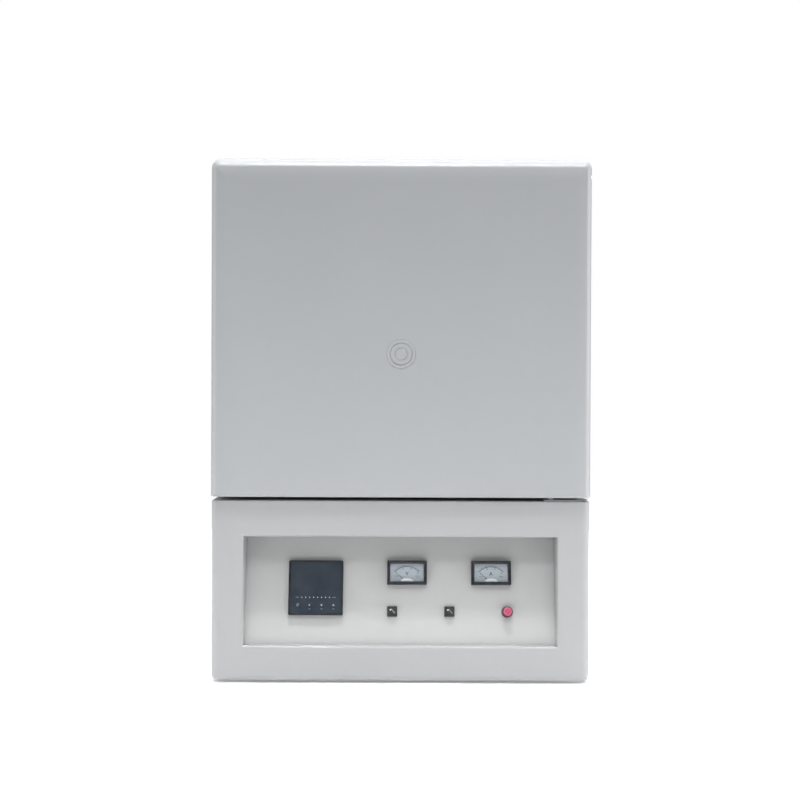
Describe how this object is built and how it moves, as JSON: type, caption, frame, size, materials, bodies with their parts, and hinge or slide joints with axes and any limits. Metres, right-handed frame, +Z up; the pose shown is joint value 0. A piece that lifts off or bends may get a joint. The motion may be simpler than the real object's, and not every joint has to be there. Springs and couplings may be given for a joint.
{
  "type": "box furnace",
  "caption": "High-temperature box furnace with a side-hung front door on a control cabinet whose leaning panel carries a controller, two meters, selectors and a push button.",
  "frame": {"origin": "on the floor, under the middle of the whole furnace", "axes": "+Z up; the front with the door and the panel faces -Y, +X is to the right seen from the front"},
  "size_m": [0.66, 0.6204, 0.9135],
  "materials": {
    "cabinet_paint": "satin",
    "door_paint": "satin",
    "panel_paint": "satin",
    "galvanised": "satin",
    "hinge_steel": "brushed",
    "screw_steel": "polished",
    "bush_brass": "satin",
    "stainless": "brushed",
    "fibre_board": "matte",
    "ceramic": "matte",
    "hearth": "matte",
    "silicide": "satin",
    "aluminium": "satin",
    "black_spacer": "matte",
    "rubber": "matte",
    "seal_fibre": "matte",
    "black_plastic": "matte",
    "dark_face": "gloss",
    "key_face": "gloss",
    "meter_glass": "clear",
    "dial_card": "satin",
    "needle_black": "matte",
    "red_lens": "gloss",
    "core_iron": "matte",
    "winding": "varnished",
    "gland_plastic": "matte"
  },
  "bodies": {
    "cabinet": {"base_rear_cover": "cabinet_paint", "base_shell": "cabinet_paint", "body_floor": "galvanised", "body_rear_cover": "cabinet_paint", "button_housing": "black_plastic", "cable_gland": "gland_plastic", "case_screws": "screw_steel", "control_panel": "panel_paint", "controller_housing": "black_plastic", "controller_window": "dark_face", "earth_stud": "bush_brass", "element_clamps": "aluminium", "fan_frame": "black_plastic", "fan_guard": "screw_steel", "front_frame": "stainless", "hearth_plate": "hearth", "heat_sink": "aluminium", "heating_elements": "silicide", "hinge_pins": "hinge_steel", "hinge_plates": "hinge_steel", "insulation_floor": "fibre_board", "insulation_rear": "fibre_board", "insulation_roof": "fibre_board", "insulation_sides": "fibre_board", "left_side_panel": "cabinet_paint", "magnet_catches": "black_plastic", "meter_cases": "black_plastic", "meter_dials": "dial_card", "meter_lenses": "meter_glass", "panel_well": "cabinet_paint", "right_side_panel": "cabinet_paint", "rubber_feet": "rubber", "selector_housings": "black_plastic", "spacer_frame": "black_spacer", "thermocouple": "ceramic", "thyristor_module": "black_plastic", "top_cover": "cabinet_paint", "transformer_coil": "winding", "transformer_core": "core_iron", "vent_tube": "ceramic"},
    "door": {"door_pan": "door_paint", "door_liner": "stainless", "door_insulation": "fibre_board", "door_plug": "fibre_board", "door_seal": "seal_fibre", "port_ring": "door_paint", "port_cap": "door_paint", "sight_tube": "ceramic", "finger_grip": "black_plastic", "hinge_bushes": "bush_brass"},
    "voltmeter_pointer": {"voltmeter_needle": "needle_black"},
    "ammeter_pointer": {"ammeter_needle": "needle_black"},
    "left_selector": {"left_selector_knob": "black_plastic"},
    "right_selector": {"right_selector_knob": "black_plastic"},
    "push_button": {"button_cap": "red_lens"},
    "rotor": {"fan_rotor": "black_plastic"},
    "key_1": {"controller_key_1": "key_face"},
    "key_2": {"controller_key_2": "key_face"},
    "key_3": {"controller_key_3": "key_face"},
    "key_4": {"controller_key_4": "key_face"}
  },
  "joints": [
    {"name": "door_hinge", "type": "hinge", "parent": "cabinet", "child": "door", "pos_m": [0.312, -0.2918, 0.32], "axis": [0, 0, 1], "range_deg": [0, 100]},
    {"name": "voltmeter_sweep", "type": "hinge", "parent": "cabinet", "child": "voltmeter_pointer", "pos_m": [0.012, -0.25965, 0.16986], "axis": [0, 0.9745, -0.2245], "range_deg": [0, 96], "stiffness_Nm_per_rad": 0.0002},
    {"name": "ammeter_sweep", "type": "hinge", "parent": "cabinet", "child": "ammeter_pointer", "pos_m": [0.161, -0.25965, 0.16986], "axis": [0, 0.9745, -0.2245], "range_deg": [0, 96], "stiffness_Nm_per_rad": 0.0002},
    {"name": "left_selector_turn", "type": "hinge", "parent": "cabinet", "child": "left_selector", "pos_m": [-0.014, -0.27094, 0.12084], "axis": [0, 0.9745, -0.2245], "range_deg": [0, 90]},
    {"name": "right_selector_turn", "type": "hinge", "parent": "cabinet", "child": "right_selector", "pos_m": [0.087, -0.27094, 0.12084], "axis": [0, 0.9745, -0.2245], "range_deg": [0, 90]},
    {"name": "button_press", "type": "slide", "parent": "cabinet", "child": "push_button", "axis": [0, 0.9745, -0.2245], "range_m": [0, 0.003], "stiffness_N_per_m": 400},
    {"name": "key_1_press", "type": "slide", "parent": "cabinet", "child": "key_1", "axis": [0, 0.9745, -0.2245], "range_m": [0, 0.0005], "stiffness_N_per_m": 1000},
    {"name": "key_2_press", "type": "slide", "parent": "cabinet", "child": "key_2", "axis": [0, 0.9745, -0.2245], "range_m": [0, 0.0005], "stiffness_N_per_m": 1000},
    {"name": "key_3_press", "type": "slide", "parent": "cabinet", "child": "key_3", "axis": [0, 0.9745, -0.2245], "range_m": [0, 0.0005], "stiffness_N_per_m": 1000},
    {"name": "key_4_press", "type": "slide", "parent": "cabinet", "child": "key_4", "axis": [0, 0.9745, -0.2245], "range_m": [0, 0.0005], "stiffness_N_per_m": 1000},
    {"name": "fan_spin", "type": "hinge", "parent": "cabinet", "child": "rotor", "pos_m": [0.19, 0.2702, 0.165], "axis": [0, 1, 0], "continuous": true}
  ]
}
